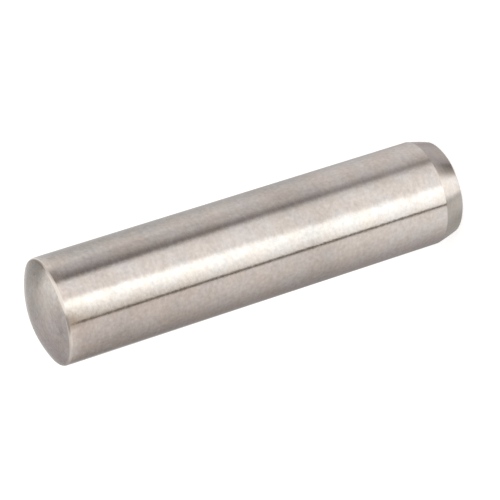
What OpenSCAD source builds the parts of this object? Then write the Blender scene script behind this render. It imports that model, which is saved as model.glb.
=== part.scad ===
// Dowel pin: one piece of hardened steel, turned and then ground on its long
// body. One end has a low dome, the other a long lead taper with a flat face.
// It stands on the flat face, with its axis along +Z and the dome on top.

/* [Pin] */
// Diameter of the ground body
pin_d = 12; // [8:0.5:25]
// Overall length, from the flat face to the top of the dome
pin_len = 50; // [20:1:120]

/* [Domed end] */
// Height of the dome, from its edge to its top
dome_rise = 1.6; // [0.6:0.1:3]
// Radius that rounds the edge between the dome and the ground body
rim_round = 0.4; // [0.1:0.05:1]

/* [Lead end] */
// Length of the lead taper along the axis
lead_len = 2.5; // [1:0.1:4]
// Slope of the lead taper, away from the axis, in degrees
lead_angle = 15; // [8:1:25]
// Size of the break at the edge of the flat face, along the axis and across it
face_break = 0.2; // [0.1:0.05:0.5]

/* [Hidden] */
steel = [0.73, 0.70, 0.67];
turn_fn = 192;

// The half section is drawn down from the top of the dome: x is the distance
// from the axis, and y is 0 at the top and -pin_len at the flat face.
pin_r = pin_d / 2;
face_y = -pin_len;

// The dome's circle goes through the body's edge and the top of the axis
dome_r = (pin_r * pin_r + dome_rise * dome_rise) / (2 * dome_rise);

// The rim round's circle touches the body's side and the dome from inside
rim_x = pin_r - rim_round;
rim_y = sqrt(pow(dome_r - rim_round, 2) - rim_x * rim_x) - dome_r;
rim_slope = [rim_x, rim_y + dome_r] / (dome_r - rim_round);

// Radius of the lead taper's small end, and where the face's break meets it
lead_r = pin_r - lead_len * tan(lead_angle);
break_r = lead_r + face_break * tan(lead_angle);

// Ground body and lead taper, up to the dome's edge
module shank_section() {
    polygon([
        [0, face_y],
        [lead_r - face_break, face_y],
        [break_r, face_y + face_break],
        [pin_r, face_y + lead_len],
        [pin_r, -dome_rise],
        [0, -dome_rise],
    ]);
}

// Dome, from its edge to its top
module dome_section() {
    intersection() {
        translate([0, -dome_r])
            circle(r = dome_r, $fn = turn_fn);
        translate([0, -dome_rise])
            square([pin_r, 2 * dome_rise]);
    }
}

// What the rim round takes off the sharp edge between the dome and the body
module rim_waste_section() {
    reach = 3 * rim_round;
    translate([rim_x, rim_y])
        difference() {
            polygon([[0, 0], [reach, 0], [reach, reach], reach * rim_slope]);
            circle(r = rim_round, $fn = turn_fn);
        }
}

module dowel_pin() {
    color(steel)
        translate([0, 0, pin_len])
            rotate_extrude($fn = turn_fn)
                difference() {
                    union() {
                        shank_section();
                        dome_section();
                    }
                    rim_waste_section();
                }
}

dowel_pin();
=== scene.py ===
"""Dresses a hardened steel dowel pin, and sets up the light tent, table and camera around it.

The pin stands on its flat end at the origin, with its axis along +Z and its dome on top.
Lengths are in millimetres and angles in degrees, and only finished meshes are in metres.
"""

import logging
import math
from dataclasses import dataclass
from enum import Enum
from typing import Any, NamedTuple, Union

import bpy
from mathutils import Matrix, Vector


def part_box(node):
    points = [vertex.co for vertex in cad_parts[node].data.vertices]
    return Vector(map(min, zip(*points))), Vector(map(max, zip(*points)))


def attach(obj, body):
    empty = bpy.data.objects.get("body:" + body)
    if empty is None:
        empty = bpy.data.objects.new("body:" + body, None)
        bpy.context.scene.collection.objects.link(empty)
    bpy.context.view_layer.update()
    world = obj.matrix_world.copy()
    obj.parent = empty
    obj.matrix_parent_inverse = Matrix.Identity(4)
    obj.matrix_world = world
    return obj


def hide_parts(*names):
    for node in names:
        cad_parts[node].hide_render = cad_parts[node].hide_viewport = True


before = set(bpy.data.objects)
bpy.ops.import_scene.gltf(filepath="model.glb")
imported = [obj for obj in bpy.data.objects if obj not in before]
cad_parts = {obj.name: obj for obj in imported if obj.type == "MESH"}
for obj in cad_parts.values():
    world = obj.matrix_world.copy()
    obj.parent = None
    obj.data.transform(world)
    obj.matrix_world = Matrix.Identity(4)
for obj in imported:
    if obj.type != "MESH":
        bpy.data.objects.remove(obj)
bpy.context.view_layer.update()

MM = 0.001
NODE = "dowel_pin"
BODY = "root"
BAKE_MAP = "OFBake"

Pair = tuple[float, float]
Triple = tuple[float, float, float]
RGB = Triple
Operand = Union["Field", float]

WHITE = (1.0, 1.0, 1.0, 1.0)
# Which way a surface faces, as the tilt away from straight up
UPWARDS = 0.0
OUTWARDS = 90.0
DOWNWARDS = 180.0
# A round mesh starts with its two points on the axis
POLES = 2

log = logging.getLogger("dowel_pin")


# ---------------------------------------------------------------------------
# Helpers
# ---------------------------------------------------------------------------


def out_and_up(tilt: float) -> Pair:
    """The sine and cosine of a tilt: how far it points outwards and how far up."""
    angle = math.radians(tilt)
    return math.sin(angle), math.cos(angle)


def steps_round(count: int) -> list[Pair]:
    """The sine and cosine of each of this many equal steps once round."""
    turns = (2 * math.pi * i / count for i in range(count))
    return [(math.sin(turn), math.cos(turn)) for turn in turns]


def add_object(name: str, data: bpy.types.ID) -> bpy.types.Object:
    """Puts a mesh or a camera into the scene.

    Args:
        name: The object's name.
        data: The mesh or the camera's data.

    Returns:
        The new object.
    """
    made = bpy.data.objects.new(name, data)
    bpy.context.scene.collection.objects.link(made)
    return made


# ---------------------------------------------------------------------------
# Shader expressions
# ---------------------------------------------------------------------------


class Field:
    """One output of a shader node, for use in expressions such as 1 - mask * 0.5."""

    def __init__(self, graph: "Graph", socket: bpy.types.NodeSocket) -> None:
        """Wraps one output socket of a graph's node."""
        self.graph = graph
        self.socket = socket

    @property
    def is_number(self) -> bool:
        """True for a single number, and False for a vector or a colour."""
        return self.socket.type == "VALUE"

    def __add__(self, other: Operand) -> "Field":
        """self + other."""
        return self.graph.combine("ADD", self, other)

    def __radd__(self, other: Operand) -> "Field":
        """other + self."""
        return self.graph.combine("ADD", other, self)

    def __sub__(self, other: Operand) -> "Field":
        """self - other."""
        return self.graph.combine("SUBTRACT", self, other)

    def __rsub__(self, other: Operand) -> "Field":
        """other - self."""
        return self.graph.combine("SUBTRACT", other, self)

    def __mul__(self, other: Operand) -> "Field":
        """self * other."""
        return self.graph.combine("MULTIPLY", self, other)

    def __rmul__(self, other: Operand) -> "Field":
        """other * self."""
        return self.graph.combine("MULTIPLY", other, self)

    def __neg__(self) -> "Field":
        """-self."""
        return self.graph.combine("MULTIPLY", self, -1.0)

    def math(self, operation: str, *others: Operand) -> "Field":
        """Any other Math operation on this number, such as ARCSINE."""
        inputs = dict(enumerate((self, *others)))
        return self.graph.add("ShaderNodeMath", {"operation": operation}, inputs)

    def step(self, low: Operand, high: Operand) -> "Field":
        """A smooth step, from 0 at low to 1 at high. Low may be the larger one."""
        inputs = {"Value": self, "From Min": low, "From Max": high}
        return self.graph.add("ShaderNodeMapRange", {"interpolation_type": "SMOOTHSTEP"}, inputs)

    def ramp(self, low: Operand, high: Operand) -> "Field":
        """A straight ramp, from 0 at low to 1 at high, and level past both ends."""
        inputs = {"Value": self, "From Min": low, "From Max": high}
        return self.graph.add("ShaderNodeMapRange", {"clamp": True}, inputs)


class Graph:
    """Builds the nodes of one material or of the world."""

    MIX_COLOURS = (6, 7)
    """The Mix node's two sockets for colours. Their names are those of other sockets too."""
    MIXED_COLOUR = 2
    """Its output for colours."""

    def __init__(self, tree: bpy.types.NodeTree) -> None:
        """Starts from an empty node tree."""
        self.tree = tree
        tree.nodes.clear()

    @classmethod
    def of_material(cls, name: str) -> tuple[bpy.types.Material, "Graph"]:
        """Makes a material without nodes.

        Args:
            name: Its name.

        Returns:
            The material, and the graph that builds its nodes.
        """
        made = bpy.data.materials.new(name)
        made.use_nodes = True
        return made, cls(made.node_tree)

    def add(
        self,
        kind: str,
        settings: dict[str, Any] | None = None,
        inputs: dict[int | str, Any] | None = None,
        output: int | str = 0,
    ) -> Field:
        """Adds one node.

        Args:
            kind: The node's type.
            settings: Its properties, which are set first.
            inputs: The values or Fields for its sockets, by name or number.
            output: The output to return, by name or number.

        Returns:
            That output, as a Field.
        """
        node = self.tree.nodes.new(kind)
        for name, value in (settings or {}).items():
            setattr(node, name, value)
        for key, value in (inputs or {}).items():
            if isinstance(value, Field):
                self.tree.links.new(value.socket, node.inputs[key])
            else:
                node.inputs[key].default_value = value
        return Field(self, node.outputs[output])

    def close(self, kind: str, surface: Field) -> None:
        """Adds the output node of this kind and links the surface to it."""
        node = self.tree.nodes.new(kind)
        self.tree.links.new(surface.socket, node.inputs["Surface"])

    def combine(self, operation: str, first: Operand, second: Operand) -> Field:
        """Works out two values with one node.

        Args:
            operation: The operation, which the Math and Vector Math nodes both know.
            first: A Field or a number.
            second: A Field or a number, where one of the two is a Field.

        Returns:
            A number where both are numbers, and otherwise a vector or colour.
        """
        fields = [value for value in (first, second) if isinstance(value, Field)]
        if all(value.is_number for value in fields):
            return self.add("ShaderNodeMath", {"operation": operation}, {0: first, 1: second})
        spread = [v if isinstance(v, Field) else (v, v, v) for v in (first, second)]
        return self.add("ShaderNodeVectorMath", {"operation": operation}, dict(enumerate(spread)))

    def mix(self, factor: Field, first: Field | RGB, second: Field | RGB) -> Field:
        """Blends two colours.

        Args:
            factor: 0 for the first colour and 1 for the second.
            first: The first colour.
            second: The second colour.

        Returns:
            The blended colour.
        """
        colours = [c if isinstance(c, Field) else (*c, 1.0) for c in (first, second)]
        inputs = {0: factor, **dict(zip(self.MIX_COLOURS, colours))}
        return self.add("ShaderNodeMix", {"data_type": "RGBA"}, inputs, self.MIXED_COLOUR)

    def choose(self, factor: Field | float, first: Field, second: Field) -> Field:
        """Blends two shaders: the first where the factor is 0, the second where it is 1."""
        return self.add("ShaderNodeMixShader", {}, {0: factor, 1: first, 2: second})

    def stretch(self, vector: Field, scale: Triple) -> Field:
        """Multiplies a vector by three numbers, one along each axis."""
        settings = {"operation": "MULTIPLY"}
        return self.add("ShaderNodeVectorMath", settings, {0: vector, 1: scale})

    def noise(self, place: Field, scale: float, detail: float, roughness: float = 0.5) -> Field:
        """Fractal noise from 0 to 1, with a cycle about every 1 / scale."""
        inputs = {"Vector": place, "Scale": scale, "Detail": detail, "Roughness": roughness}
        return self.add("ShaderNodeTexNoise", {}, inputs)

    def bump(self, height: Field, depth: float, normal: Field | None = None) -> Field:
        """Tilts the surface along a relief.

        Args:
            height: The relief, from 0 to 1.
            depth: The millimetres that 1 stands for.
            normal: The surface that it comes on top of, where that is tilted already.

        Returns:
            The tilted normal.
        """
        inputs: dict[int | str, Any] = {"Height": height, "Distance": depth * MM, "Strength": 1.0}
        if normal is not None:
            inputs["Normal"] = normal
        return self.add("ShaderNodeBump", {}, inputs)


# ---------------------------------------------------------------------------
# Finishes of the steel
# ---------------------------------------------------------------------------


class Lay(Enum):
    """Which way the fine marks of a finish run."""

    ROUND_THE_SIDE = "hoops, one above the other"
    ROUND_THE_END = "rings, one inside the other"


@dataclass(frozen=True)
class Marks:
    """Fine marks left by a grinding wheel or a turning tool."""

    per_mm: float
    """How many there are to a millimetre, across them."""
    depth: float
    """Height of a mark."""
    shade: float
    """How much they lighten and darken the steel."""
    gloss: float
    """How much they change the roughness."""
    fade: float = 0.12
    """How often a mark fades and comes back, per millimetre along it."""
    detail: float = 3.0
    """How many finer layers their noise has."""
    harshness: float = 0.6
    """Strength of each layer, as a share of the one before."""

    def height(self, graph: Graph, place: Field, lay: Lay) -> Field:
        """Draws the marks.

        Args:
            graph: The material's nodes.
            place: The place on the pin, in millimetres.
            lay: The way that they run.

        Returns:
            Their height, from 0 to 1.
        """
        if lay is Lay.ROUND_THE_SIDE:
            drawn = graph.stretch(place, (self.fade, self.fade, self.per_mm))
        else:
            flat = graph.stretch(place, (1.0, 1.0, 0.0))
            radius = graph.add("ShaderNodeVectorMath", {"operation": "LENGTH"}, {0: flat}, "Value")
            across = graph.add("ShaderNodeCombineXYZ", {}, {"Z": radius * self.per_mm})
            drawn = flat * self.fade + across
        return graph.noise(drawn, 1.0, self.detail, self.harshness)


@dataclass(frozen=True)
class Grain:
    """The fine speckle of a surface, the same in all directions."""

    per_mm: float
    depth: float
    """Height of a speck."""
    shade: float
    """How much the specks lighten and darken the steel."""
    detail: float = 2.0
    """How many finer layers their noise has."""

    def height(self, graph: Graph, place: Field) -> Field:
        """The specks' height at a place in millimetres, from 0 to 1."""
        return graph.noise(place, self.per_mm, self.detail)


@dataclass(frozen=True)
class Clouds:
    """The broad, soft patches of a surface: light and dark ones, and warm ones."""

    per_mm: float = 0.35
    shade: float = 0.10
    """How much they lighten and darken the steel."""
    warmth_per_mm: float = 0.7
    warmth: RGB = (1.0, 0.97, 0.94)
    """Tint of the warm patches, as a share of the colour."""
    edge: Pair = (0.35, 0.65)
    """Levels of the noise between which a warm patch comes up."""
    detail: float = 3.0
    """How many finer layers the noise has."""
    apart: float = 40.0
    """Distance at which the warm patches read the noise, so that they lie elsewhere."""

    def light(self, graph: Graph, place: Field) -> Field:
        """How light the steel is at a place in millimetres, from 0 to 1."""
        return graph.noise(place, self.per_mm, self.detail)

    def warm(self, graph: Graph, place: Field) -> Field:
        """How warm the steel is at a place in millimetres, from 0 to 1."""
        return graph.noise(place + self.apart, self.warmth_per_mm, self.detail).step(*self.edge)


@dataclass(frozen=True)
class PaintedShadeRing:
    """A faint darker ring of painted shade in the steel's colour, standing in for a dimmer stretch of
    what the steel mirrors.
    """

    height: float
    # Where on the pin the painted shade is darkest.
    """Where on the pin it is dullest."""
    below: float
    """How far it fades toward the foot."""
    above: float
    """How far it fades toward the top."""
    shade: float
    """How much it darkens the steel."""

    def painted_shade(self, height: Field) -> Field:
        """Works out the painted shade that the ring takes off the steel's colour.

        Args:
            height: The height on the pin, in millimetres.

        Returns:
            The share that it takes off: most in its middle, and nothing past its ends.
        """
        lower = height.step(self.height - self.below, self.height)
        upper = height.step(self.height + self.above, self.height)
        return lower * upper * self.shade


@dataclass(frozen=True)
class SteelFinish:
    """One finish of bare hardened steel."""

    name: str
    colour: RGB
    roughness: float
    marks: Marks
    grain: Grain
    clouds: Clouds = Clouds()
    # A darker ring of painted shade in the colour, where there is one
    painted_shade_ring: PaintedShadeRing | None = None
    lay: Lay = Lay.ROUND_THE_SIDE
    anisotropy: float = 0.0
    """How much further a gleam spreads across the marks than along them."""
    quarter_turn: float = 0.25
    """Turns that spread from the hoops' own direction to the pin's axis."""
    mean: float = 0.5
    """Middle level of every noise, where it neither lightens nor darkens."""

    def material(self) -> bpy.types.Material:
        """Builds the material's nodes.

        Returns:
            The new material.
        """
        made, graph = Graph.of_material(self.name)
        place = graph.add("ShaderNodeTexCoord", output="Object") * (1.0 / MM)
        marks = self.marks.height(graph, place, self.lay)
        grain = self.grain.height(graph, place)
        cloud = self.clouds.light(graph, place)

        shade = 1.0 + (marks - self.mean) * self.marks.shade
        shade = shade + (grain - self.mean) * self.grain.shade
        shade = shade + (cloud - self.mean) * self.clouds.shade
        # Painted shade: a darker ring round the body, taken off its colour
        if self.painted_shade_ring is not None:
            height = graph.add("ShaderNodeSeparateXYZ", {}, {0: place}, "Z")
            shade = shade - self.painted_shade_ring.painted_shade(height)
        warm = tuple(c * tint for c, tint in zip(self.colour, self.clouds.warmth))
        colour = graph.mix(self.clouds.warm(graph, place), self.colour, warm)
        normal = graph.bump(marks, self.marks.depth)
        inputs = {
            "Base Color": colour * shade,
            "Metallic": 1.0,
            "Roughness": self.roughness + (marks - self.mean) * self.marks.gloss,
            "Anisotropic": self.anisotropy,
            "Anisotropic Rotation": self.quarter_turn,
            "Normal": graph.bump(grain, self.grain.depth, normal),
        }
        graph.close("ShaderNodeOutputMaterial", graph.add("ShaderNodeBsdfPrincipled", {}, inputs))
        return made


class Zone(Enum):
    """The parts of the pin's surface, from the top down, each with its own finish."""

    DOME = SteelFinish(
        "satin_dome",
        colour=(0.70, 0.66, 0.63),
        roughness=0.28,
        marks=Marks(per_mm=2.4, depth=0.004, shade=0.32, gloss=0.08, fade=1.0),
        grain=Grain(per_mm=2.2, depth=0.007, shade=0.46),
        clouds=Clouds(shade=0.38, warmth=(1.0, 0.965, 0.935)),
        lay=Lay.ROUND_THE_END,
    )
    # Lighter steel than the body: edge wear, and a painted highlight for the rim's thin bright line
    RIM = SteelFinish(
        "worn_rim_and_painted_highlight",
        colour=(0.80, 0.75, 0.71),
        roughness=0.18,
        marks=Marks(per_mm=5.0, depth=0.0006, shade=0.04, gloss=0.05),
        grain=Grain(per_mm=4.0, depth=0.0006, shade=0.04),
    )
    GROUND_BODY = SteelFinish(
        "ground_body",
        colour=(0.73, 0.683, 0.648),
        roughness=0.14,
        marks=Marks(per_mm=3.0, depth=0.002, shade=0.24, gloss=0.08, fade=0.9),
        grain=Grain(per_mm=2.4, depth=0.004, shade=0.42),
        clouds=Clouds(shade=0.22, warmth_per_mm=0.35, warmth=(1.0, 0.96, 0.92)),
        # Painted shade: a darker ring round the body, in its colour
        painted_shade_ring=PaintedShadeRing(height=18.5, below=4.5, above=8.5, shade=0.10),
        anisotropy=0.6,
    )
    LEAD_TAPER = SteelFinish(
        "turned_lead_taper",
        colour=(0.72, 0.67, 0.625),
        roughness=0.15,
        marks=Marks(per_mm=4.0, depth=0.001, shade=0.16, gloss=0.06, fade=0.4),
        grain=Grain(per_mm=2.6, depth=0.002, shade=0.24),
        anisotropy=0.4,
    )
    FLAT_FACE = SteelFinish(
        "faced_flat_end",
        colour=(0.71, 0.665, 0.625),
        roughness=0.30,
        marks=Marks(per_mm=4.0, depth=0.0015, shade=0.16, gloss=0.08, fade=0.3),
        grain=Grain(per_mm=4.0, depth=0.0008, shade=0.16),
        lay=Lay.ROUND_THE_END,
    )


# ---------------------------------------------------------------------------
# The pin
# ---------------------------------------------------------------------------


class Ring(NamedTuple):
    """One ring of the pin's surface."""

    radius: float
    height: float
    facing: float
    """Which way its surface faces."""
    run: float
    """Its distance from the top of the dome, along the outline."""
    zone: Zone
    """Finish of the band above it."""


@dataclass(frozen=True)
class Corner:
    """A corner of the pin's outline, with the small radius that softens it."""

    radius: float
    height: float
    above: float
    """The way that the surface above it faces."""
    below: float
    """The way that the surface below it faces."""
    rounding: float = 0.0

    @property
    def centre(self) -> Pair:
        """The rounding's centre: its distance from the axis and its height."""
        out, up = out_and_up((self.above + self.below) / 2)
        inset = self.rounding / math.cos(math.radians((self.below - self.above) / 2))
        return self.radius - inset * out, self.height - inset * up


class Outline:
    """Half the pin's outline, drawn as rings from the top down."""

    def __init__(self, top: float) -> None:
        """Starts with the top of the dome, at this height on the axis."""
        self.rings = [Ring(0.0, top, UPWARDS, 0.0, Zone.DOME)]

    def add(self, radius: float, height: float, facing: float, zone: Zone) -> None:
        """Adds the next ring down, below a band of this finish. None goes below the table."""
        last = self.rings[-1]
        run = last.run + math.hypot(radius - last.radius, height - last.height)
        self.rings.append(Ring(radius, max(height, 0.0), facing, run, zone))

    def arc(self, centre: Pair, radius: float, end: float, bands: int, zone: Zone) -> None:
        """Goes on along an arc that starts at the last ring.

        Args:
            centre: The arc's centre: its distance from the axis and its height.
            radius: The arc's radius.
            end: The way that its last ring faces.
            bands: The number of its bands.
            zone: Their finish.
        """
        start = self.rings[-1].facing
        for i in range(1, bands + 1):
            facing = start + (end - start) * i / bands
            out, up = out_and_up(facing)
            self.add(centre[0] + radius * out, centre[1] + radius * up, facing, zone)

    def reach(self, corner: Corner, crown: float, bands: int, zone: Zone) -> None:
        """Goes on to where a corner's rounding starts.

        Args:
            corner: The corner.
            crown: How far the surface turns on the way. Without a turn it is straight.
            bands: The number of bands.
            zone: Their finish.
        """
        last = self.rings[-1]
        out, up = out_and_up(corner.above)
        centre_r, centre_z = corner.centre
        run_r = centre_r + corner.rounding * out - last.radius
        run_z = centre_z + corner.rounding * up - last.height
        for i in range(1, bands + 1):
            share = i / bands
            bulge = math.radians(crown) / 2 * share * (1 - share)
            radius = last.radius + run_r * share - run_z * bulge
            height = last.height + run_z * share + run_r * bulge
            self.add(radius, height, corner.above - crown * (1 - share), zone)

    def turn(self, corner: Corner, bands: int, zone: Zone) -> None:
        """Goes round a corner, once its rounding is reached."""
        self.arc(corner.centre, corner.rounding, corner.below, bands, zone)


@dataclass(frozen=True)
class Sheet:
    """Where the pin's surface lies on its square texture sheet.

    The side is unrolled, with its top edge up, and both ends are discs beside it.
    """

    size: float = 52.0
    """Length of its edges, at the pin's own scale."""
    side_left: float = 0.5
    """Where the side's left edge lies."""
    side_top: float = 51.5
    """Where the side's top edge lies."""
    dome: Pair = (45.2, 7.5)
    """Centre of the dome's disc."""
    face: Pair = (45.2, 21.5)
    """Centre of the flat face's disc."""

    def spot(self, ring: Ring, turn: float, zone: Zone, girth: float) -> Pair:
        """Finds the place of one corner of a face.

        Args:
            ring: The ring that the corner is on.
            turn: How far round the pin it is, as a share of a whole turn.
            zone: The face's finish, which tells the ends from the side.
            girth: The length once round the pin's body.

        Returns:
            Its place on the sheet, from 0 to 1 along both edges.
        """
        sine, cosine = math.sin(2 * math.pi * turn), math.cos(2 * math.pi * turn)
        if zone is Zone.DOME:
            across, up = self.dome[0] + ring.run * sine, self.dome[1] + ring.run * cosine
        elif zone is Zone.FLAT_FACE:
            across, up = self.face[0] - ring.radius * sine, self.face[1] + ring.radius * cosine
        else:
            # The outline runs about one radius before it comes to the side
            radius = girth / (2 * math.pi)
            across, up = self.side_left + girth * (1 - turn), self.side_top + radius - ring.run
        return across / self.size, up / self.size


@dataclass(frozen=True)
class BandCounts:
    """How many bands of faces each stretch of the pin's outline has."""

    dome: int = 28
    rim: int = 12
    roll: int = 6
    body: int = 40
    taper: int = 8
    slope: int = 1
    """On the slope of the flat face's break."""
    edge: int = 4
    """Round each softened edge."""
    face: int = 6


@dataclass(frozen=True)
class DowelPin:
    """The pin: a ground body between a domed end and a lead taper with a flat face."""

    radius: float
    length: float
    dome_rise: float = 1.6
    rim_round: float = 0.4
    roll_len: float = 1.2
    """Length over which the body's end rolls off toward the rim."""
    roll_turn: float = 2.5
    """How far its surface turns there."""
    lead_len: float = 2.5
    lead_angle: float = 15.0
    lead_crown: float = 6.0
    """How much the taper's slope grows from its start to its end."""
    face_break: float = 0.2
    shoulder_round: float = 0.4
    """Radius between the ground body and the taper."""
    edge_round: float = 0.05
    """Radius at both edges of the flat face's break."""
    segments: int = 256
    """Faces once round the pin."""
    counts: BandCounts = BandCounts()
    sheet: Sheet = Sheet()

    def outline(self) -> list[Ring]:
        """Draws the outline from the top of the dome to the middle of the flat face.

        Returns:
            Its rings. The first and last are on the axis.
        """
        dome_r = (self.radius**2 + self.dome_rise**2) / (2 * self.dome_rise)
        dome_z = self.length - dome_r
        roll_in = self.roll_len * math.tan(math.radians(self.roll_turn / 2))
        rim_x = self.radius - self.rim_round - roll_in
        rim_z = dome_z + math.sqrt((dome_r - self.rim_round) ** 2 - rim_x**2)
        rim_facing = math.degrees(math.asin(rim_x / (dome_r - self.rim_round)))

        slope = math.tan(math.radians(self.lead_angle))
        break_r = self.radius - (self.lead_len - self.face_break) * slope
        face_r = self.radius - self.lead_len * slope - self.face_break
        break_facing = OUTWARDS + math.degrees(math.atan2(break_r - face_r, self.face_break))
        lead_start = OUTWARDS + self.lead_angle - self.lead_crown / 2
        lead_end = lead_start + self.lead_crown
        roll = Corner(self.radius, rim_z - self.roll_len, OUTWARDS, OUTWARDS)
        shoulder = Corner(self.radius, self.lead_len, OUTWARDS, lead_start, self.shoulder_round)
        toe = Corner(break_r, self.face_break, lead_end, break_facing, self.edge_round)
        foot = Corner(face_r, 0.0, break_facing, DOWNWARDS, self.edge_round)
        middle = Corner(0.0, 0.0, DOWNWARDS, DOWNWARDS)

        drawn = Outline(self.length)
        counts = self.counts
        drawn.arc((0.0, dome_z), dome_r, rim_facing, counts.dome, Zone.DOME)
        drawn.arc((rim_x, rim_z), self.rim_round, OUTWARDS - self.roll_turn, counts.rim, Zone.RIM)
        drawn.reach(roll, self.roll_turn, counts.roll, Zone.GROUND_BODY)
        drawn.reach(shoulder, 0.0, counts.body, Zone.GROUND_BODY)
        drawn.turn(shoulder, counts.edge, Zone.LEAD_TAPER)
        drawn.reach(toe, self.lead_crown, counts.taper, Zone.LEAD_TAPER)
        drawn.turn(toe, counts.edge, Zone.LEAD_TAPER)
        drawn.reach(foot, 0.0, counts.slope, Zone.LEAD_TAPER)
        drawn.turn(foot, counts.edge, Zone.LEAD_TAPER)
        drawn.reach(middle, 0.0, counts.face, Zone.FLAT_FACE)
        return drawn.rings

    def build(self) -> bpy.types.Object:
        """Turns the outline into the pin's mesh, and gives it its finishes.

        Returns:
            The pin, riding on the part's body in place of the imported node.
        """
        rings = self.outline()
        points, normals = self._points(rings)
        faces, zones, spots = self._faces(rings)
        mesh = bpy.data.meshes.new("ground_dowel")
        mesh.from_pydata(points, [], faces)
        order = list(Zone)
        for zone in order:
            mesh.materials.append(zone.value.material())
        mesh.polygons.foreach_set("material_index", [order.index(zone) for zone in zones])
        mesh.polygons.foreach_set("use_smooth", [True] * len(faces))
        unwrapped = mesh.uv_layers.new(name=BAKE_MAP)
        unwrapped.data.foreach_set("uv", [number for spot in spots for number in spot])
        mesh.normals_split_custom_set_from_vertices(normals)
        pin = add_object("ground_dowel", mesh)
        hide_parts(NODE)
        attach(pin, BODY)
        return pin

    def _points(self, rings: list[Ring]) -> tuple[list[Triple], list[Triple]]:
        """Places the vertices: one at each end of the axis, and the rest ring by ring.

        Args:
            rings: The outline.

        Returns:
            The vertices, in metres, and the normal at each of them.
        """
        points = [(0.0, 0.0, ring.height * MM) for ring in (rings[0], rings[-1])]
        normals = [(0.0, 0.0, 1.0), (0.0, 0.0, -1.0)]
        turns = steps_round(self.segments)
        for ring in rings[1:-1]:
            out, up = out_and_up(ring.facing)
            for sine, cosine in turns:
                points.append((ring.radius * sine * MM, ring.radius * cosine * MM, ring.height * MM))
                normals.append((out * sine, out * cosine, up))
        return points, normals

    def _faces(self, rings: list[Ring]) -> tuple[list[list[int]], list[Zone], list[Pair]]:
        """Joins the vertices up: triangles round both ends of the axis, and quads between.

        Args:
            rings: The outline.

        Returns:
            The faces, the finish of each, and the place of each of their corners on the sheet.
        """
        last = len(rings) - 1
        girth = 2 * math.pi * self.radius
        faces, zones, spots = [], [], []
        for row in range(last):
            zone = rings[row + 1].zone
            for i in range(self.segments):
                corners = [(row, i), (row, i + 1), (row + 1, i + 1), (row + 1, i)]
                if row == 0:
                    corners.pop(0)
                if row == last - 1:
                    corners.pop(-1)
                faces.append([self._index(r, turn, last) for r, turn in corners])
                zones.append(zone)
                for r, turn in corners:
                    spots.append(self.sheet.spot(rings[r], turn / self.segments, zone, girth))
        return faces, zones, spots

    def _index(self, row: int, turn: int, last: int) -> int:
        """Finds a vertex's number, where the first and the last ring have only one.

        Args:
            row: The number of its ring.
            turn: The number of its step round the pin.
            last: The number of the last ring.

        Returns:
            Its number in the mesh.
        """
        if row in (0, last):
            return min(row, 1)
        return POLES + (row - 1) * self.segments + turn % self.segments


# ---------------------------------------------------------------------------
# Light tent, table, backdrop and camera
# ---------------------------------------------------------------------------


@dataclass(frozen=True)
class Panel:
    """A stretch of the tent's wall, from its own edge on to the next panel's.

    Bearings are seen from the pin: 0 is straight in front of it, and they grow to its left.
    """

    low: float
    """Bearing of its edge at the foot of its band."""
    high: float
    """Bearing of its edge at the band's head."""
    glow: RGB
    """Its light at the foot."""
    top: RGB | None = None
    """Its light at the head, where that is another one."""
    blur: Pair = (8.0, 8.0)
    """How far the edge fades to each side, at the foot and at the head."""

    def hang(self, graph: Graph, wall: Field | RGB, bearing: Field, rise: Field) -> Field:
        """Puts the panel on the wall.

        Args:
            graph: The tent's nodes.
            wall: The wall's light so far.
            bearing: The bearing of the wall's points.
            rise: 0 at the band's foot and 1 at its head.

        Returns:
            The wall's light with the panel.
        """
        edge = self.low + rise * (self.high - self.low)
        blur = self.blur[0] + rise * (self.blur[1] - self.blur[0])
        past = (bearing - edge).step(-blur, blur)
        return graph.mix(past, wall, graph.mix(rise, self.glow, self.top or self.glow))


@dataclass(frozen=True)
class Band:
    """One height band of the tent: plain cloth and the panels that hang on it."""

    foot: float
    """Height angle of its foot, as the panels know it."""
    head: float
    """Height angle of its head, as the panels know it."""
    cloth: RGB
    """Its light where no panel hangs: behind the pin, up to the first panel's edge."""
    panels: tuple[Panel, ...]
    join: Pair | None = None
    """Height angles between which it takes over from the band below, where there is one."""

    def light(self, graph: Graph, bearing: Field, height: Field) -> Field:
        """Lights the band.

        Args:
            graph: The tent's nodes.
            bearing: The bearing of the tent's points.
            height: Their height angle.

        Returns:
            The band's light.
        """
        rise = height.ramp(self.foot, self.head)
        light: Field | RGB = self.cloth
        for panel in self.panels:
            light = panel.hang(graph, light, bearing, rise)
        return light


# What the break round the flat face mirrors
BASE = Band(
    foot=-90.0,
    head=-70.0,
    cloth=(1.20, 1.20, 1.20),
    panels=(
        Panel(-167, -167, (0.15, 0.14, 0.14), blur=(8, 8)),
        Panel(-150, -150, (0.43, 0.42, 0.42), blur=(12, 12)),
        Panel(157, 157, (1.20, 1.20, 1.20), blur=(10, 10)),
    ),
)
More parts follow.
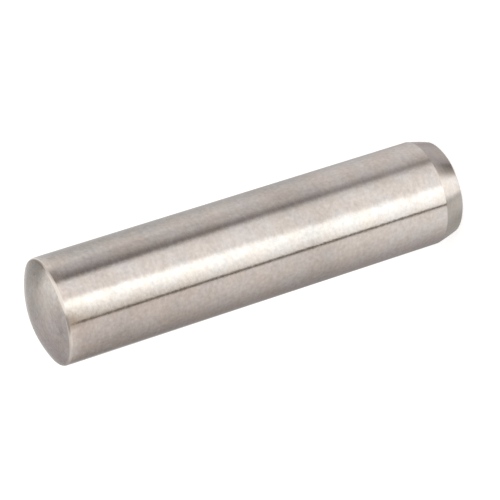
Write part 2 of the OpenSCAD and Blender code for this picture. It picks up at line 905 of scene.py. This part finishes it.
# What the lead taper mirrors
SKIRT = Band(
    foot=-54.0,
    head=-47.0,
    join=(-70.0, -62.0),
    cloth=(1.20, 1.20, 1.20),
    panels=(
        Panel(-169, -175, (0.06, 0.06, 0.06), (0.36, 0.34, 0.36), blur=(5, 4)),
        Panel(-152, -154, (0.43, 0.41, 0.43), blur=(6, 8)),
        Panel(-132, -132, (0.53, 0.51, 0.52), blur=(12, 12)),
        Panel(-80, -80, (0.41, 0.39, 0.40), blur=(14, 14)),
        Panel(-63, -70, (0.17, 0.16, 0.16), (0.50, 0.48, 0.48), blur=(7, 7)),
        Panel(-46, -48, (0.38, 0.36, 0.35), (0.71, 0.67, 0.65), blur=(14, 8)),
        Panel(-22, -26, (1.28, 1.29, 1.30), blur=(16, 16)),
        Panel(10, 10, (1.18, 1.18, 1.18), blur=(12, 12)),
        Panel(35, 33, (0.58, 0.58, 0.57), (0.42, 0.42, 0.41), blur=(10, 14)),
        Panel(50, 50, (0.65, 0.65, 0.64), (0.58, 0.58, 0.57), blur=(8, 8)),
        Panel(92, 92, (0.42, 0.42, 0.41), blur=(24, 24)),
        Panel(165, 175, (1.20, 1.20, 1.20), blur=(8, 4)),
    ),
)
# What the ground body mirrors: the long dark and bright stripes
WALL = Band(
    foot=-25.0,
    head=-12.5,
    join=(-36.0, -28.0),
    cloth=(0.84, 0.84, 0.83),
    panels=(
        Panel(-168, -168, (0.53, 0.52, 0.52), blur=(6, 6)),
        Panel(-150, -150, (0.61, 0.60, 0.60), (0.47, 0.475, 0.475), blur=(6, 6)),
        Panel(-132, -114, (0.74, 0.72, 0.72), (0.66, 0.65, 0.65), blur=(22, 22)),
        Panel(-92, -93, (0.65, 0.63, 0.63), (0.53, 0.515, 0.515), blur=(8, 8)),
        Panel(-68, -70, (0.21, 0.19, 0.19), (0.18, 0.165, 0.165), blur=(14, 13)),
        Panel(-58, -50, (0.79, 0.78, 0.78), (0.92, 0.91, 0.92), blur=(10, 7)),
        Panel(-42, -36, (0.97, 0.96, 0.96), (0.94, 0.93, 0.94), blur=(12, 8)),
        Panel(0, -13, (1.62, 1.69, 1.71), (1.60, 1.66, 1.66), blur=(9, 5)),
        Panel(40, 18, (0.55, 0.50, 0.46), (0.42, 0.36, 0.31), blur=(46, 26)),
        Panel(38.2, 36.0, (0.08, 0.06, 0.04), blur=(2, 2.5)),
        Panel(43.1, 41.2, (0.92, 0.905, 0.90), (0.645, 0.595, 0.57), blur=(3, 2)),
        Panel(97, 96, (0.36, 0.34, 0.34), (0.27, 0.25, 0.24), blur=(50, 54)),
        Panel(152, 152, (0.31, 0.30, 0.30), (0.37, 0.36, 0.36), blur=(6, 6)),
        Panel(167, 161, (0.74, 0.74, 0.73), blur=(10, 10)),
    ),
)
# What the body's top end and the foot of the dome mirror
LEDGE = Band(
    foot=-10.0,
    head=0.0,
    join=(-14.0, -7.0),
    cloth=(0.88, 0.88, 0.87),
    panels=(
        Panel(-140, -140, (0.98, 0.96, 0.94), (0.74, 0.71, 0.69), blur=(20, 20)),
        Panel(-86, -86, (0.34, 0.31, 0.30), blur=(10, 10)),
        Panel(-50, -50, (1.00, 0.97, 0.97), blur=(8, 8)),
        Panel(-10, -10, (1.50, 1.55, 1.55), blur=(8, 8)),
        Panel(8, 8, (0.50, 0.44, 0.38), blur=(18, 18)),
        Panel(45, 45, (0.88, 0.83, 0.80), blur=(6, 6)),
        Panel(88, 88, (0.78, 0.74, 0.72), (0.52, 0.49, 0.47), blur=(10, 10)),
        Panel(130, 130, (0.50, 0.48, 0.46), (0.38, 0.36, 0.35), blur=(14, 14)),
        Panel(165, 165, (0.65, 0.65, 0.64), blur=(10, 10)),
    ),
)
# What the dome mirrors, from its edge up: this band and the two above it
FRIEZE = Band(
    foot=12.0,
    head=45.0,
    join=(0.0, 14.0),
    cloth=(0.49, 0.48, 0.47),
    panels=(
        Panel(-162, -158, (0.34, 0.33, 0.31), (0.21, 0.20, 0.19), blur=(8, 8)),
        Panel(-110, -112, (0.66, 0.64, 0.62), (0.74, 0.72, 0.70), blur=(12, 12)),
        Panel(-52, -66, (1.08, 1.06, 1.03), blur=(10, 10)),
        Panel(16, 16, (0.36, 0.35, 0.34), blur=(8, 8)),
        Panel(52, 62, (0.82, 0.79, 0.77), blur=(8, 12)),
        Panel(92, 92, (0.66, 0.63, 0.61), blur=(10, 10)),
        Panel(134, 130, (0.44, 0.42, 0.42), blur=(12, 12)),
        Panel(154, 152, (0.38, 0.36, 0.37), (0.43, 0.40, 0.41), blur=(6, 6)),
        Panel(172, 166, (0.46, 0.44, 0.44), (0.58, 0.55, 0.55), blur=(6, 6)),
    ),
)
CORNICE = Band(
    foot=45.0,
    head=70.0,
    join=(43.0, 51.0),
    cloth=(0.62, 0.60, 0.58),
    panels=(
        Panel(-166, -158, (1.06, 1.05, 1.03), (1.12, 1.11, 1.09), blur=(17, 19)),
        Panel(-146, -146, (0.72, 0.71, 0.69), (1.08, 1.07, 1.05), blur=(8, 8)),
        Panel(-100, -100, (1.04, 1.02, 0.99), blur=(10, 10)),
        Panel(18, 24, (0.38, 0.37, 0.36), blur=(8, 8)),
        Panel(74, 74, (0.70, 0.68, 0.66), blur=(18, 18)),
        Panel(130, 125, (0.48, 0.46, 0.47), blur=(16, 16)),
        Panel(160, 178, (0.72, 0.68, 0.68), blur=(10, 12)),
    ),
)
CEILING = Band(
    foot=70.0,
    head=90.0,
    join=(72.0, 84.0),
    cloth=(0.85, 0.83, 0.81),
    panels=(
        Panel(-160, -160, (1.04, 1.02, 0.99), blur=(20, 20)),
        Panel(8, 8, (0.42, 0.41, 0.40), blur=(10, 10)),
        Panel(70, 70, (0.58, 0.56, 0.55), blur=(14, 14)),
        Panel(150, 150, (0.85, 0.83, 0.81), blur=(16, 16)),
    ),
)


@dataclass(frozen=True)
class LightTent:
    """A round tent of lit cloth with panels and cards, which the steel mirrors."""

    radius: float = 600.0
    bands: tuple[Band, ...] = (BASE, SKIRT, WALL, LEDGE, FRIEZE, CORNICE, CEILING)
    """From the lowest up."""
    turns: int = 64
    """Faces once round."""
    tilts: int = 32
    """Bands of faces from top to bottom."""

    def build(self) -> bpy.types.Object:
        """Makes the tent. It can't be seen itself, and only lights the pin and the table.

        Returns:
            The tent's sphere.
        """
        mesh = bpy.data.meshes.new("light_tent")
        size = self.radius * MM
        points = [(0.0, 0.0, size), (0.0, 0.0, -size)]
        for polar in (math.pi * row / self.tilts for row in range(1, self.tilts)):
            flat, up = size * math.sin(polar), size * math.cos(polar)
            for sine, cosine in steps_round(self.turns):
                points.append((flat * cosine, flat * sine, up))
        faces = []
        lowest = len(points) - self.turns
        for i in range(self.turns):
            j = (i + 1) % self.turns
            faces.append((0, POLES + j, POLES + i))
            for upper in range(POLES, lowest, self.turns):
                lower = upper + self.turns
                faces.append((upper + i, upper + j, lower + j, lower + i))
            faces.append((1, lowest + i, lowest + j))
        mesh.from_pydata(points, [], faces)
        mesh.materials.append(self._material())
        sphere = add_object("light_tent", mesh)
        sphere.visible_camera = False
        sphere.visible_shadow = False
        return sphere

    def _material(self) -> bpy.types.Material:
        """Makes the glow of the tent's cloth and panels.

        Returns:
            The new material.
        """
        made, graph = Graph.of_material("tent_cloth")
        made.cycles.emission_sampling = "NONE"
        place = graph.add("ShaderNodeTexCoord", output="Object")
        way = graph.add("ShaderNodeVectorMath", {"operation": "NORMALIZE"}, {0: place})
        x, y, z = (graph.add("ShaderNodeSeparateXYZ", {}, {0: way}, axis) for axis in range(3))
        bearing = (-x).math("ARCTAN2", -y).math("DEGREES")
        height = z.math("ARCSINE").math("DEGREES")

        glow = self.bands[0].light(graph, bearing, height)
        for band in self.bands[1:]:
            glow = graph.mix(height.step(*band.join), glow, band.light(graph, bearing, height))
        inputs = {"Color": glow, "Strength": 1.0}
        graph.close("ShaderNodeOutputMaterial", graph.add("ShaderNodeEmission", {}, inputs))
        return made


@dataclass(frozen=True)
class Table:
    """A clear shooting table: white to the camera, with the pin's soft shadow on it.

    What the steel mirrors below it is the tent, which shows through.
    """

    radius: float = 580.0
    white: float = 0.55
    """Light of its own that the camera sees, on top of what falls on it."""
    paint: RGB = (0.9, 0.9, 0.9)
    """Colour of its top in that light."""
    segments: int = 96

    def build(self) -> bpy.types.Object:
        """Makes the table's top.

        Returns:
            The round top.
        """
        mesh = bpy.data.meshes.new("table_top")
        size = self.radius * MM
        rim = [(size * cosine, size * sine, 0.0) for sine, cosine in steps_round(self.segments)]
        mesh.from_pydata(rim, [], [tuple(range(self.segments))])
        mesh.materials.append(self._material())
        top = add_object("table_top", mesh)
        return top

    def _material(self) -> bpy.types.Material:
        """Makes the top white for the camera, matt for soft light, and clear for gleams.

        Returns:
            The new material.
        """
        made, graph = Graph.of_material("table_white")
        made.cycles.emission_sampling = "NONE"
        matt = graph.add("ShaderNodeBsdfDiffuse", {}, {"Color": (*self.paint, 1.0)})
        glow = graph.add("ShaderNodeEmission", {}, {"Color": WHITE, "Strength": self.white})
        clear = graph.add("ShaderNodeBsdfTransparent", {}, {"Color": WHITE})
        camera = graph.add("ShaderNodeLightPath", output="Is Camera Ray")
        lit = graph.add("ShaderNodeAddShader", {}, {0: matt, 1: glow})
        seen = graph.choose(camera, matt, lit)
        graph.close("ShaderNodeOutputMaterial", graph.choose(mirrored(graph), seen, clear))
        return made


def mirrored(graph: Graph) -> Field:
    """Tells the rays that metal or glass sends on from all others.

    Args:
        graph: The nodes of a material or of the world.

    Returns:
        1 for such a ray, and 0 for any other.
    """
    glossy = graph.add("ShaderNodeLightPath", output="Is Glossy Ray")
    through = graph.add("ShaderNodeLightPath", output="Is Transmission Ray")
    return glossy.math("MAXIMUM", through)


@dataclass(frozen=True)
class Backdrop:
    """The white behind everything."""

    fill: float = 0.6
    """Level of its light on matt surfaces."""

    def build(self) -> bpy.types.World:
        """Makes the world: white where it is seen or mirrored, and dimmer as a light.

        Returns:
            The new world.
        """
        world = bpy.data.worlds.new("white_backdrop")
        world.use_nodes = True
        graph = Graph(world.node_tree)
        camera = graph.add("ShaderNodeLightPath", output="Is Camera Ray")
        seen = camera.math("MAXIMUM", mirrored(graph))
        level = self.fill + seen * (1.0 - self.fill)
        inputs = {"Color": WHITE, "Strength": level}
        graph.close("ShaderNodeOutputWorld", graph.add("ShaderNodeBackground", {}, inputs))
        bpy.context.scene.world = world
        return world


@dataclass(frozen=True)
class Camera:
    """The camera, which looks down on the pin and is turned so that the pin lies across the frame."""

    aim: Triple = (-0.2415, 0.0, 24.265)
    """Point that it looks at."""
    distance: float = 261.64
    """How far it stands from that point."""
    bearing: float = -0.0626
    """Bearing of the camera from the pin: 0 is on the -Y side."""
    elevation: float = 21.8975
    """How steeply it looks down."""
    roll: float = -107.768
    """How far it is turned about its line of sight."""
    lens: float = 172.066
    sensor: float = 36.0
    nearest: float = 10.0
    """Nearest distance that it sees."""
    farthest: float = 10000.0
    """Farthest distance that it sees."""

    def build(self) -> bpy.types.Object:
        """Makes the camera and hands it to the scene.

        Returns:
            The camera.
        """
        turn, tilt, roll = (math.radians(a) for a in (self.bearing, self.elevation, self.roll))
        flat, rise = math.cos(tilt), math.sin(tilt)
        back = Vector((math.sin(turn) * flat, -math.cos(turn) * flat, rise))
        level = Vector((math.cos(turn), math.sin(turn), 0.0))
        upright = back.cross(level)
        right = level * math.cos(roll) + upright * math.sin(roll)
        up = back.cross(right)
        data = bpy.data.cameras.new("camera")
        data.lens = self.lens
        data.sensor_width = self.sensor
        data.clip_start = self.nearest * MM
        data.clip_end = self.farthest * MM
        camera = add_object("camera", data)
        camera.matrix_world = (
            Matrix.Translation((Vector(self.aim) + back * self.distance) * MM)
            @ Matrix((right, up, back)).transposed().to_4x4()
        )
        bpy.context.scene.camera = camera
        return camera


# ---------------------------------------------------------------------------
# Scene
# ---------------------------------------------------------------------------


def pin_from_frame() -> DowelPin:
    """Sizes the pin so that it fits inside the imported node's box.

    Returns:
        The pin, not yet built.
    """
    low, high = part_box(NODE)
    radius = min(-low.x, high.x, -low.y, high.y) / MM
    return DowelPin(radius=radius, length=(high.z - low.z) / MM)


def main() -> None:
    """Builds the camera, the stage and the pin, in that order."""
    logging.basicConfig(level=logging.INFO, format="%(name)s: %(message)s")
    bpy.context.scene.view_settings.view_transform = "Standard"
    stage = [Camera().build(), Backdrop().build(), LightTent().build(), Table().build()]
    for made in stage:
        log.info("stage: %s", made.name)
    pin = pin_from_frame().build()
    log.info("piece: %s, %d faces", pin.name, len(pin.data.polygons))


if __name__ == "__main__":
    main()
